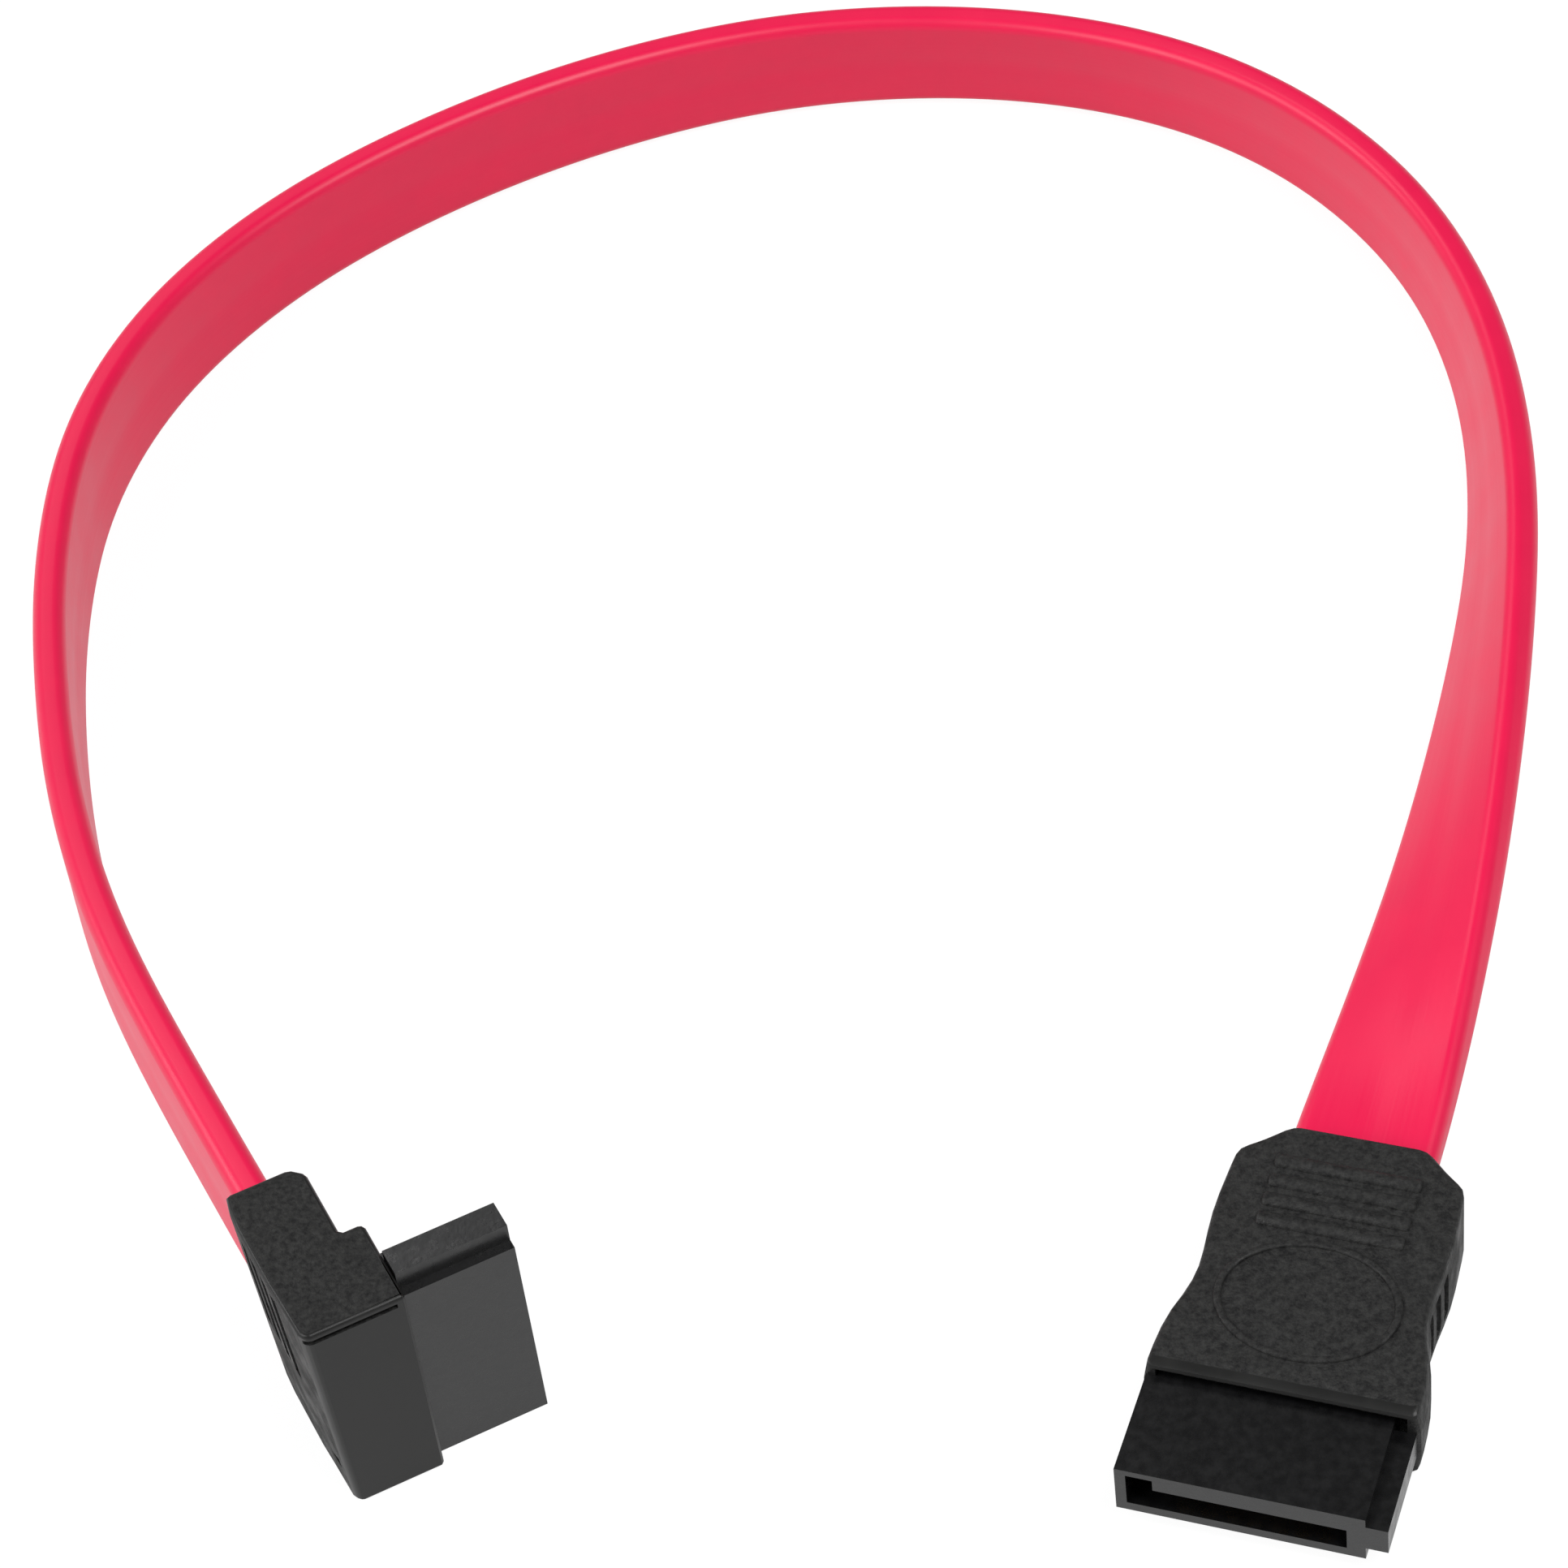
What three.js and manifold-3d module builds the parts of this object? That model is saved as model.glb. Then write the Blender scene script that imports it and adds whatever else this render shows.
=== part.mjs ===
// Flat red signal cable with a straight connector at one end and a right-angle connector at the other.
// Millimetres, +Z up, lying on z = 0. The origin is on the flat underside of the straight connector.
import * as THREE from 'three';
import { mergeVertices } from 'three/addons/utils/BufferGeometryUtils.js';
import Module from 'manifold-3d';

const wasm = await Module();
wasm.setup();

// Cable cross-section
const signalDiameter = 0.98;        // insulated signal conductor
const bareDiameter = 0.4;           // its solid copper end
const drainDiameter = 0.34;
const signalPitch = 1.27;           // between the two conductors of a pair
const drainGap = 0.05;              // drain wire to conductor
const coreSlack = 0.08;             // wires to foil
const foilWall = 0.07;
const foilFit = 0.03;               // foil to jacket
const jacketFaceWall = 0.37;
const jacketEdgeWall = 0.6;
const jacketWeb = 0.22;             // between the two cores
const jacketCorner = 0.6;
const coreCorner = 0.35;

// Contacts and the slot that takes the socket's L-shaped blade
const contactCount = 7;
const contactPitch = 1.27;
const contactWidth = 0.8;
const contactThickness = 0.2;
const contactTouch = 2.4;           // touching point, from the mouth
const contactTip = 1.1;             // free tip, from the mouth
const contactDrop = 0.6;            // from the contact's tail down to its touching point
const contactRise = 0.45;           // from there up to its free tip
const contactsOffset = -0.1;        // middle contact from the middle of the housing
const slotDepth = 6.4;
const slotHeight = 1.5;
const slotFloor = 0.6;              // wall under the slot
const slotKeyWidth = 1.45;          // short leg of the L
const slotKeyRise = 0.8;
const slotKeyWall = 0.6;            // wall outside the short leg
const slotEndWall = 1.0;            // wall at the rail end
const channelWidth = 1.0;
const channelCeiling = 0.9;         // wall over the contact channels
const channelLip = 0.6;             // solid front wall before the channels

// Receptacle housing
const housingWidth = 14.6;
const noseThickness = 3.3;
const noseLength = 6.45;
const railWidth = 1.2;
const railThickness = 1.8;
const railBelowTop = 0.6;
const tailBlockLength = 2.4;        // part of the housing held inside the overmould
const tailBlockWidth = 11.2;
const tailBlockThickness = 2.6;
const recessDepth = 1.2;            // recess in the overmoulds, round the root of the nose
const recessHeight = 4.2;
const recessSideWall = 0.5;

// Straight overmould
const gripLength = 18.3;
const gripThickness = 5.2;
const gripDraft = 0.45;             // its wide faces are this much smaller all round than its middle
const gripDraftHeight = 1.6;
const gripRearHalf = 4.6;           // half widths of its outline, from the cable to the nose
const gripCollarHalf = 5.2;
const gripShoulderHalf = 6.5;
const gripSwellHalf = 6.95;
const gripBulgeHalf = 7.1;
const gripWaistHalf = 6.75;
const gripFlareHalf = 7.3;
const gripFrontHalf = 7.45;
const gripCollar = 1.8;             // where those widths lie, from the rear or from the front
const gripShoulderFromRear = 2.5;
const gripSwellFromRear = 4.35;
const gripBulgeFromFront = 11.05;
const gripWaistFromFront = 7.05;
const gripFlareFromFront = 3.45;

// Right-angle overmould
const elbowFaceStep = 1.0;          // wide face stands proud of the nose
const elbowFront = 6.55;            // front wall from the mouth
const elbowBack = 12.6;             // back wall from the mouth
const elbowDepth = 5.75;            // thickness of the body behind the wide face
const elbowEdge = 0.3;
const elbowFrontChamfer = 0.25;
const elbowBackBow = 1.6;           // straight part of the back wall, from the body and from the neck's end
const neckThickness = 4.7;
const neckLength = 5.5;
const neckTaper = 0.45;
const neckChamfer = 0.8;

// Raised grips and plain oval on the overmoulds
const ribCount = 4;
const ribPitch = 1.38;
const ribThickness = 0.6;
const ribHeight = 0.18;
const ribLength = 8;
const ribsFromRear = 2.7;
const ribsFromNeckEnd = 2.4;
const ovalAcross = 10.2;
const ovalAlong = 8.2;
const ovalLine = 0.35;
const ovalHeight = 0.12;
const ovalFromFront = 6;

// Upright finger pockets in the sides of the straight overmould
const pocketCount = 3;
const pocketPitch = 1.45;
const pocketWidth = 0.85;
const pocketsFromFront = 7.2;
const pocketFloor = 6.2;            // from the middle of the overmould
const pocketLow = -1.7;
const pocketHigh = 1.5;

// Inner moulds, and the fits of what is held inside
const innerWall = 0.6;              // beside the soldered joints
const innerThickness = 3.0;
const innerChannelSlack = 0.39;     // beside the outermost contacts
const innerChannelHeight = 1.5;
const innerAboveTails = 0.6;        // angled inner mould, over the contact tails
const fit = 0.12;
const jacketGrip = 4.4;             // jacket held inside each overmould
const foilBeyondJacket = 0.8;
const insulationBeyondFoil = 2.1;
const straightTail = 14.0;          // end of the straight connector's contact tails, from the mouth
const angledTail = 11.3;
const straightBareLength = 3.6;
const solderGap = 0.12;
const past = 1;                     // how far a cutting block runs beyond what it cuts
const sharedDrain = 0.22;           // inner drain wires, to each side of the middle contact's middle

// Places of the two connectors
const straightTurn = -113.75;       // degrees about +Z, from +X to the mating direction
const baseToMouth = 14.85;          // origin to mouth
const angledTurn = 20.7;
const angledMouth = [-42.76, 3.53];

// Route of the cable's centre line between the connectors: x, y, z, lean of its width towards the inside
const route = [
  [-58.3, 15.3, 7.3, 0], [-64.1, 30.9, 6.85, 0], [-67.1, 43.4, 6, 0.5], [-68.5, 55.6, 5, 1],
  [-68.75, 68.3, 4.35, 0.5], [-66.95, 80.6, 4.2, 0], [-62.1, 91.4, 4.2, 0.5], [-54, 100.5, 4.2, 2.5],
  [-43.5, 107.25, 4.25, 5], [-31.3, 111.95, 4.28, 7], [-18.3, 113.9, 4.32, 9.5], [-5.3, 112.1, 4.35, 11.5],
  [6.3, 106.85, 4.35, 11.5], [15.1, 98.4, 4.32, 8.5], [21, 86.7, 4.25, 2], [23.05, 73.2, 4.25, -7],
  [21.7, 58.7, 4.4, -18.5], [17.8, 44, 4.3, -32.5], [12.9, 29.8, 3.85, -49], [7.75, 17.4, 3.1, -70.5],
];
const routeTwistFrom = 0.66;        // past this share of the route the cable twists, so steps are finer
const plainSteps = 19;
const twistSteps = 17;

// Sizes that follow from the ones above
const coreHalfWidth = signalPitch / 2 + signalDiameter / 2 + drainGap + drainDiameter + coreSlack;
const coreHalfHeight = signalDiameter / 2 + coreSlack;
const boreHalfWidth = coreHalfWidth + foilWall + foilFit;
const boreHalfHeight = coreHalfHeight + foilWall + foilFit;
const coreOffset = boreHalfWidth + jacketWeb / 2;
const jacketWidth = 2 * (coreOffset + boreHalfWidth + jacketEdgeWall);
const jacketThickness = 2 * (boreHalfHeight + jacketFaceWall);
const housingHalf = housingWidth / 2;
const noseHalf = noseThickness / 2;
const noseSide = housingHalf - railWidth;
const slotLow = -noseHalf + slotFloor;
const slotHigh = slotLow + slotHeight;
const slotFrom = -housingHalf + slotKeyWall;
const slotTo = noseSide - slotEndWall;
const channelHigh = noseHalf - channelCeiling;
const tailLevel = channelHigh - contactThickness - fit;   // underside of the contact tails
const innerChannelWidth = (contactCount - 1) * contactPitch + contactWidth + 2 * innerChannelSlack;
const innerWidth = innerChannelWidth + 2 * innerWall;
const gripRear = noseLength + gripLength;
const recessHalf = housingHalf - recessSideWall;
const recessEnd = noseLength + recessDepth;
const elbowAxis = elbowBack - neckThickness / 2;          // cable axis from the mouth
const elbowWidth = housingWidth;
const elbowFace = noseHalf + elbowFaceStep;
const elbowRear = elbowFace - elbowDepth;
const neckEnd = elbowRear - neckLength;
const angledInnerTop = channelHigh + innerAboveTails;

// Solids and meshes
function toSolid(geometry) {
  const bare = geometry.clone();
  bare.deleteAttribute('normal');
  bare.deleteAttribute('uv');
  const merged = mergeVertices(bare, 1e-5);
  const vertProperties = new Float32Array(merged.attributes.position.array);
  const triVerts = new Uint32Array(merged.index.array);
  return new wasm.Manifold(new wasm.Mesh({ numProp: 3, vertProperties, triVerts }));
}

function toGeometry(solid) {
  const { vertProperties, triVerts } = solid.getMesh();
  const geometry = new THREE.BufferGeometry();
  geometry.setAttribute('position', new THREE.BufferAttribute(new Float32Array(vertProperties), 3));
  geometry.setIndex(new THREE.BufferAttribute(new Uint32Array(triVerts), 1));
  const faceted = geometry.toNonIndexed();
  faceted.computeVertexNormals();
  return faceted;
}

function block(from, to) {
  const size = to.map((end, i) => end - from[i]);
  const geometry = new THREE.BoxGeometry(...size);
  geometry.translate(...from.map((start, i) => start + size[i] / 2));
  return toSolid(geometry);
}

function joined(solids) {
  return solids.reduce((whole, next) => whole.add(next));
}

function outline(points) {
  return new THREE.Shape(points.map(([x, y]) => new THREE.Vector2(x, y)));
}

// An outline in x and y, raised through z about the middle, with chamfered edges of a width and a height
function slab(shape, thickness, edge, edgeHeight = edge) {
  const options = { depth: thickness - 2 * edgeHeight, bevelEnabled: edge > 0, curveSegments: 8 };
  const bevel = { bevelThickness: edgeHeight, bevelSize: edge, bevelOffset: -edge, bevelSegments: 1 };
  const geometry = new THREE.ExtrudeGeometry(shape, { ...options, ...bevel });
  geometry.translate(0, 0, -options.depth / 2);
  return geometry;
}

// The same, for an outline in x and z raised through y
function upright(shape, width, edge) {
  const geometry = slab(shape, width, edge);
  geometry.rotateX(Math.PI / 2);
  return geometry;
}

const root = new THREE.Group();

function addPiece(parent, name, geometry, look) {
  const mesh = new THREE.Mesh(geometry, new THREE.MeshStandardMaterial(look));
  mesh.name = name;
  parent.add(mesh);
}

const looks = {
  jacket: { color: '#d8184f', roughness: 0.4, metalness: 0 },
  insulation: { color: '#e9e6df', roughness: 0.5, metalness: 0 },
  copper: { color: '#c9c6c0', roughness: 0.3, metalness: 1 },
  foil: { color: '#d5d8da', roughness: 0.25, metalness: 1 },
  gold: { color: '#d9b45a', roughness: 0.25, metalness: 1 },
  housing: { color: '#1d1d1f', roughness: 0.35, metalness: 0 },
  overmould: { color: '#2c2c2d', roughness: 0.65, metalness: 0 },
  inner: { color: '#d8d4c8', roughness: 0.6, metalness: 0 },
};

// Connector frames: x is the mating direction, with the mouth at 0, y runs across to the rail, z is thickness
const straight = new THREE.Group();
const turn = THREE.MathUtils.degToRad(straightTurn);
straight.position.set(baseToMouth * Math.cos(turn), baseToMouth * Math.sin(turn), gripThickness / 2);
straight.rotation.z = turn;
const angledStand = new THREE.Group();
angledStand.position.set(...angledMouth, elbowWidth / 2);
angledStand.rotation.z = THREE.MathUtils.degToRad(angledTurn);
const angled = new THREE.Group();
angled.rotation.x = Math.PI / 2;
angledStand.add(angled);
root.add(straight, angledStand);
root.updateMatrixWorld(true);

// Receptacle housing: nose with the L-shaped slot, its root in the overmould's recess, side rail, contact
// channels and the block held in the overmould
const contactPlaces = Array.from({ length: contactCount }, (_, i) =>
  contactsOffset + (i - (contactCount - 1) / 2) * contactPitch);

function housing() {
  const back = noseLength + tailBlockLength;
  const railTop = noseHalf - railBelowTop;
  const body = joined([
    block([-noseLength, -housingHalf, -noseHalf], [0, noseSide, noseHalf]),
    block([-noseLength, noseSide - past, railTop - railThickness], [0, housingHalf, railTop]),
    block([-recessEnd, -recessHalf + fit, -noseHalf], [-noseLength + past, noseSide, noseHalf]),
    block([-back, -tailBlockWidth / 2, -tailBlockThickness / 2], [-noseLength + past, tailBlockWidth / 2,
      tailBlockThickness / 2]),
  ]);
  const cuts = [
    block([-slotDepth, slotFrom, slotLow], [past, slotTo, slotHigh]),
    block([-slotDepth, slotFrom, slotLow], [past, slotFrom + slotKeyWidth, slotHigh + slotKeyRise]),
  ];
  for (const y of contactPlaces) {
    const [near, far] = [y - channelWidth / 2, y + channelWidth / 2];
    cuts.push(block([-slotDepth, near, slotHigh - fit], [-channelLip, far, channelHigh]));
    cuts.push(block([-back - past, near, tailLevel - fit], [-slotDepth + fit, far, channelHigh]));
  }
  return toGeometry(body.subtract(joined(cuts)));
}

// Spring contact: a flat strip from its solder tail to the bowed beam in the slot
function contact(tailEnd) {
  const t = contactThickness;
  const bend = slotDepth + fit;
  const low = tailLevel - contactDrop;
  const lowerSide = [[-tailEnd, tailLevel], [-bend, tailLevel], [-contactTouch, low],
    [-contactTip, low + contactRise]];
  const upperSide = lowerSide.map(([x, z]) => [x, z + t]).reverse();
  return upright(outline([...lowerSide, ...upperSide]), contactWidth, 0);
}

function addReceptacle(parent, prefix, tailEnd) {
  addPiece(parent, `${prefix}_housing`, housing(), looks.housing);
  contactPlaces.forEach((y, i) => {
    const strip = contact(tailEnd);
    strip.translate(0, y, 0);
    addPiece(parent, `${prefix}_contact_${i + 1}`, strip, looks.gold);
  });
}

addReceptacle(straight, 'straight', straightTail);
addReceptacle(angled, 'angled', angledTail);

// Shapes of the cable's sections; x runs along the cable's width, y through its thickness
function rounded(halfWidth, halfHeight, corner, arcSteps, middle, centre = 0) {
  const points = [];
  const corners = [[1, 1, 0], [-1, 1, 90], [-1, -1, 180], [1, -1, 270]];
  for (const [sx, sy, start] of corners) {
    for (let i = 0; i <= arcSteps; i += 1) {
      const angle = THREE.MathUtils.degToRad(start + (90 * i) / arcSteps);
      const x = sx * (halfWidth - corner) + corner * Math.cos(angle);
      const y = sy * (halfHeight - corner) + corner * Math.sin(angle);
      points.push([centre + x, y]);
    }
    if (middle && sx === sy) points.push([centre, sy * halfHeight]);
  }
  return points;
}

function coreOutline(growth, side) {
  const corner = coreCorner + growth;
  return rounded(coreHalfWidth + growth, coreHalfHeight + growth, corner, 1, true, side * coreOffset);
}

function withHoles(points, holes) {
  const shape = outline(points);
  shape.holes = holes.map((hole) => outline(hole));
  return shape;
}

// Overmoulds
function jacketPocket(length) {
  const section = rounded(jacketWidth / 2 + fit, jacketThickness / 2 + fit, jacketCorner + fit, 2, false);
  return slab(outline(section), length, 0);
}

function ribs(place) {
  return Array.from({ length: ribCount }, (_, i) => {
    const start = i * ribPitch;
    return place(start, start + ribThickness);
  });
}

function ovalRing(height) {
  const ring = new THREE.Shape();
  ring.absellipse(0, 0, ovalAlong / 2, ovalAcross / 2, 0, 2 * Math.PI);
  const inside = new THREE.Path();
  inside.absellipse(0, 0, ovalAlong / 2 - ovalLine, ovalAcross / 2 - ovalLine, 0, 2 * Math.PI);
  ring.holes = [inside];
  return new THREE.ExtrudeGeometry(ring, { depth: height, bevelEnabled: false, curveSegments: 12 });
}

function noseRecess() {
  return block([-recessEnd, -recessHalf, -recessHeight / 2], [0, recessHalf, recessHeight / 2]);
}

function straightOvermould() {
  const rear = -gripRear;
  const shoulder = rear + gripShoulderFromRear;
  const side = [[rear, gripRearHalf], [rear + gripCollar, gripCollarHalf], [shoulder, gripShoulderHalf]];
  const flank = new THREE.SplineCurve([
    [rear + gripSwellFromRear, gripSwellHalf], [-noseLength - gripBulgeFromFront, gripBulgeHalf],
    [-noseLength - gripWaistFromFront, gripWaistHalf], [-noseLength - gripFlareFromFront, gripFlareHalf],
    [-noseLength, gripFrontHalf]].map(([x, y]) => new THREE.Vector2(x, y)));
  side.push(...flank.getPoints(8).map((p) => [p.x, p.y]));
  side.push([-noseLength + 2 * gripDraft, gripFrontHalf]);
  const mirrored = side.map(([x, y]) => [x, -y]).reverse();
  const half = gripThickness / 2;
  const drafted = slab(outline([...mirrored, ...side].reverse()), gripThickness, gripDraft, gripDraftHeight);
  const beyond = gripFrontHalf + past;
  const front = block([-noseLength, -beyond, -half - past], [past, beyond, half + past]);
  const body = toSolid(drafted).subtract(front);

  const ribsStart = rear + ribsFromRear;
  const bars = ribs((from, to) =>
    block([ribsStart + from, -ribLength / 2, half - fit], [ribsStart + to, ribLength / 2, half + ribHeight]));
  const oval = ovalRing(ovalHeight + fit);
  oval.translate(-noseLength - ovalFromFront, 0, half - fit);

  const pockets = [];
  for (let i = 0; i < pocketCount; i += 1) {
    const middle = -noseLength - pocketsFromFront - i * pocketPitch;
    const [near, far] = [middle - pocketWidth / 2, middle + pocketWidth / 2];
    pockets.push(block([near, pocketFloor, pocketLow], [far, gripFrontHalf, pocketHigh]));
    pockets.push(block([near, -gripFrontHalf, pocketLow], [far, -pocketFloor, pocketHigh]));
  }

  const pocket = jacketPocket(jacketGrip + 2 * past);
  pocket.rotateZ(Math.PI / 2);
  pocket.rotateY(Math.PI / 2);
  pocket.translate(rear + jacketGrip / 2, 0, 0);
  const innerEnd = -noseLength - tailBlockLength - fit;
  const cavities = joined([
    toSolid(pocket),
    block([rear + jacketGrip, -innerWidth / 2 - fit, -innerThickness / 2 - fit],
      [innerEnd, innerWidth / 2 + fit, innerThickness / 2 + fit]),
    block([innerEnd - fit, -tailBlockWidth / 2 - fit, -tailBlockThickness / 2 - fit],
      [-noseLength + past, tailBlockWidth / 2 + fit, tailBlockThickness / 2 + fit]),
    noseRecess(),
  ]);
  return toGeometry(joined([body.subtract(joined(pockets)), ...bars, toSolid(oval)]).subtract(cavities));
}

function angledOvermould() {
  const inner = elbowBack - neckThickness;
  const profile = [
    [-elbowBack + neckTaper, elbowFace], [-elbowFront, elbowFace],
    [-elbowFront, elbowRear + elbowFrontChamfer], [-elbowFront - elbowFrontChamfer, elbowRear],
    [-inner, elbowRear], [-inner, neckEnd + neckChamfer],
    [-inner - neckChamfer, neckEnd], [-elbowBack + neckTaper, neckEnd], [-elbowBack, neckEnd + elbowBackBow],
    [-elbowBack, elbowRear + elbowBackBow],
  ];
  const body = toSolid(upright(outline(profile), elbowWidth, elbowEdge));
  const ribsStart = neckEnd + ribsFromNeckEnd;
  const bars = ribs((from, to) =>
    block([-elbowBack - ribHeight, -ribLength / 2, ribsStart + from],
      [-elbowBack + fit, ribLength / 2, ribsStart + to]));

  const pocket = jacketPocket(jacketGrip + 2 * past);
  pocket.rotateZ(Math.PI / 2);
  pocket.translate(-elbowAxis, 0, neckEnd + jacketGrip / 2);
  const back = -noseLength - tailBlockLength - fit;
  const cavities = joined([
    toSolid(pocket),
    block([-elbowAxis - innerThickness / 2 - fit, -innerWidth / 2 - fit, neckEnd + jacketGrip],
      [back, innerWidth / 2 + fit, angledInnerTop + fit]),
    block([back - fit, -tailBlockWidth / 2 - fit, -tailBlockThickness / 2 - fit],
      [-noseLength + past, tailBlockWidth / 2 + fit, tailBlockThickness / 2 + fit]),
    block([-elbowFront - fit, -housingHalf - past, -noseHalf - fit], [0, housingHalf + past, noseHalf + fit]),
    noseRecess(),
  ]);
  return toGeometry(joined([body, ...bars]).subtract(cavities));
}

addPiece(straight, 'straight_overmould', straightOvermould(), looks.overmould);
addPiece(angled, 'angled_overmould', angledOvermould(), looks.overmould);

// Inner moulds: hard sleeves round the soldered joints
function straightInnerMould() {
  const from = -gripRear + jacketGrip + 2 * fit;
  const to = -noseLength - tailBlockLength - 2 * fit;
  const [halfWidth, half] = [innerWidth / 2, innerThickness / 2];
  const sleeve = block([from, -halfWidth, -half], [to, halfWidth, half]);
  const [w, h] = [innerChannelWidth / 2, innerChannelHeight / 2];
  return toGeometry(sleeve.subtract(block([from - past, -w, -h], [to + past, w, h])));
}

function angledInnerMould() {
  const low = neckEnd + jacketGrip + 2 * fit;
  const to = -noseLength - tailBlockLength - 2 * fit;
  const from = -elbowAxis - innerThickness / 2;
  const [w, h] = [innerChannelWidth / 2, innerChannelHeight / 2];
  const sleeve = block([from, -innerWidth / 2, low], [to, innerWidth / 2, angledInnerTop]);
  const wires = block([-elbowAxis - h, -w, low - past], [-elbowAxis + h, w, channelHigh + fit]);
  const tails = block([-angledTail - fit, -w, tailLevel - 2 * fit], [to + past, w, channelHigh + fit]);
  return toGeometry(sleeve.subtract(wires).subtract(tails));
}

addPiece(straight, 'straight_inner_mould', straightInnerMould(), looks.inner);
addPiece(angled, 'angled_inner_mould', angledInnerMould(), looks.inner);

// Stations of the cable: a point, the direction of its width and the direction of its inner face
const place = (x, y, z, frame) => new THREE.Vector3(x, y, z).applyMatrix4(frame.matrixWorld);
const axisOf = (x, y, z, frame) => new THREE.Vector3(x, y, z).transformDirection(frame.matrixWorld);

function angledStation(depth) {
  const point = place(-elbowAxis, 0, neckEnd + depth, angled);
  return { point, width: axisOf(0, 1, 0, angled), face: axisOf(1, 0, 0, angled) };
}

function straightStation(depth) {
  const point = place(-gripRear + depth, 0, 0, straight);
  return { point, width: axisOf(0, 1, 0, straight), face: axisOf(0, 0, 1, straight) };
}

const flatLean = -90;
const insideEnds = [angledStation(jacketGrip).point, angledStation(0).point];
const outsideEnds = [straightStation(0).point, straightStation(jacketGrip).point];
const routePoints = route.map(([x, y, z]) => new THREE.Vector3(x, y, z));
const leans = [0, 0, ...route.map((row) => row[3]), flatLean, flatLean];
const leanPoints = leans.map((lean) => new THREE.Vector3(lean, 0, 0));
const curveThrough = (points) => new THREE.CatmullRomCurve3(points, false, 'catmullrom', 0.5);
const centreLine = curveThrough([...insideEnds, ...routePoints, ...outsideEnds]);
const leanLine = curveThrough(leanPoints);

function routeStation(share) {
  const spans = route.length + 3;
  const u = (1 + share * (spans - 2)) / spans;
  const point = centreLine.getPoint(u);
  const along = centreLine.getTangent(u);
  const lean = THREE.MathUtils.degToRad(leanLine.getPoint(u).x);
  const inward = along.clone().cross(new THREE.Vector3(0, 0, 1)).normalize();
  const upward = inward.clone().cross(along);
  const width = upward.clone().multiplyScalar(Math.cos(lean)).addScaledVector(inward, Math.sin(lean));
  const face = inward.multiplyScalar(Math.cos(lean)).addScaledVector(upward, -Math.sin(lean));
  return { point, width, face };
}

const shares = [];
for (let i = 1; i <= plainSteps; i += 1) shares.push((routeTwistFrom * i) / plainSteps);
for (let i = 1; i < twistSteps; i += 1) shares.push(routeTwistFrom + ((1 - routeTwistFrom) * i) / twistSteps);
const freeStations = [angledStation(0), ...shares.map(routeStation), straightStation(0)];

// A section carried along stations; each may shrink the section and shift it across the cable's width
function carried(shape, stations) {
  const steps = stations.length - 1;
  const geometry = new THREE.ExtrudeGeometry(shape, { steps, depth: steps, bevelEnabled: false });
  const spots = geometry.attributes.position;
  for (let i = 0; i < spots.count; i += 1) {
    const { point, width, face, scale = 1, shift = 0 } = stations[Math.round(spots.getZ(i))];
    const across = spots.getX(i) * scale + shift;
    const through = spots.getY(i) * scale;
    const moved = point.clone().addScaledVector(width, across).addScaledVector(face, through);
    spots.setXYZ(i, moved.x, moved.y, moved.z);
  }
  geometry.computeVertexNormals();
  return geometry;
}

const jacketRun = [angledStation(jacketGrip), ...freeStations, straightStation(jacketGrip)];
const jacketShape = withHoles(rounded(jacketWidth / 2, jacketThickness / 2, jacketCorner, 2, true),
  [-1, 1].map((side) => coreOutline(foilWall + foilFit, side)));
addPiece(root, 'cable_jacket', carried(jacketShape, jacketRun), looks.jacket);

const foilEnd = jacketGrip + foilBeyondJacket;
const foilRun = [angledStation(foilEnd), ...freeStations, straightStation(foilEnd)];
const pairs = [['a', -1], ['b', 1]];
for (const [pair, side] of pairs) {
  const shape = withHoles(coreOutline(foilWall, side), [coreOutline(0, side)]);
  addPiece(root, `pair_${pair}_foil_shield`, carried(shape, foilRun), looks.foil);
}

// Wires: straight through the foil, then spread to their contacts; the ends are bared for soldering
const insulationEnd = foilEnd + insulationBeyondFoil;
const stripStep = 0.3;
const angledWireEnd = tailLevel - solderGap - neckEnd;
const straightWireEnd = insulationEnd + straightBareLength;

function wireRun(offset, target, bareScale) {
  const wireStation = (stationAt, depth, shift, scale) => ({ ...stationAt(depth), shift, scale });
  const endOf = (stationAt, end) => [
    wireStation(stationAt, end, target, bareScale),
    wireStation(stationAt, insulationEnd + stripStep, target, bareScale),
    wireStation(stationAt, insulationEnd, target, 1),
    wireStation(stationAt, foilEnd, offset, 1),
  ];
  const middle = freeStations.map((station) => ({ ...station, shift: offset }));
  const last = endOf(straightStation, straightWireEnd).reverse();
  return [...endOf(angledStation, angledWireEnd), ...middle, ...last];
}

function wire(diameter, sides, offset, target, bareScale) {
  const ring = Array.from({ length: sides }, (_, i) => {
    const angle = (2 * Math.PI * i) / sides;
    return [(diameter / 2) * Math.cos(angle), (diameter / 2) * Math.sin(angle)];
  });
  return carried(outline(ring), wireRun(offset, target, bareScale));
}

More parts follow.
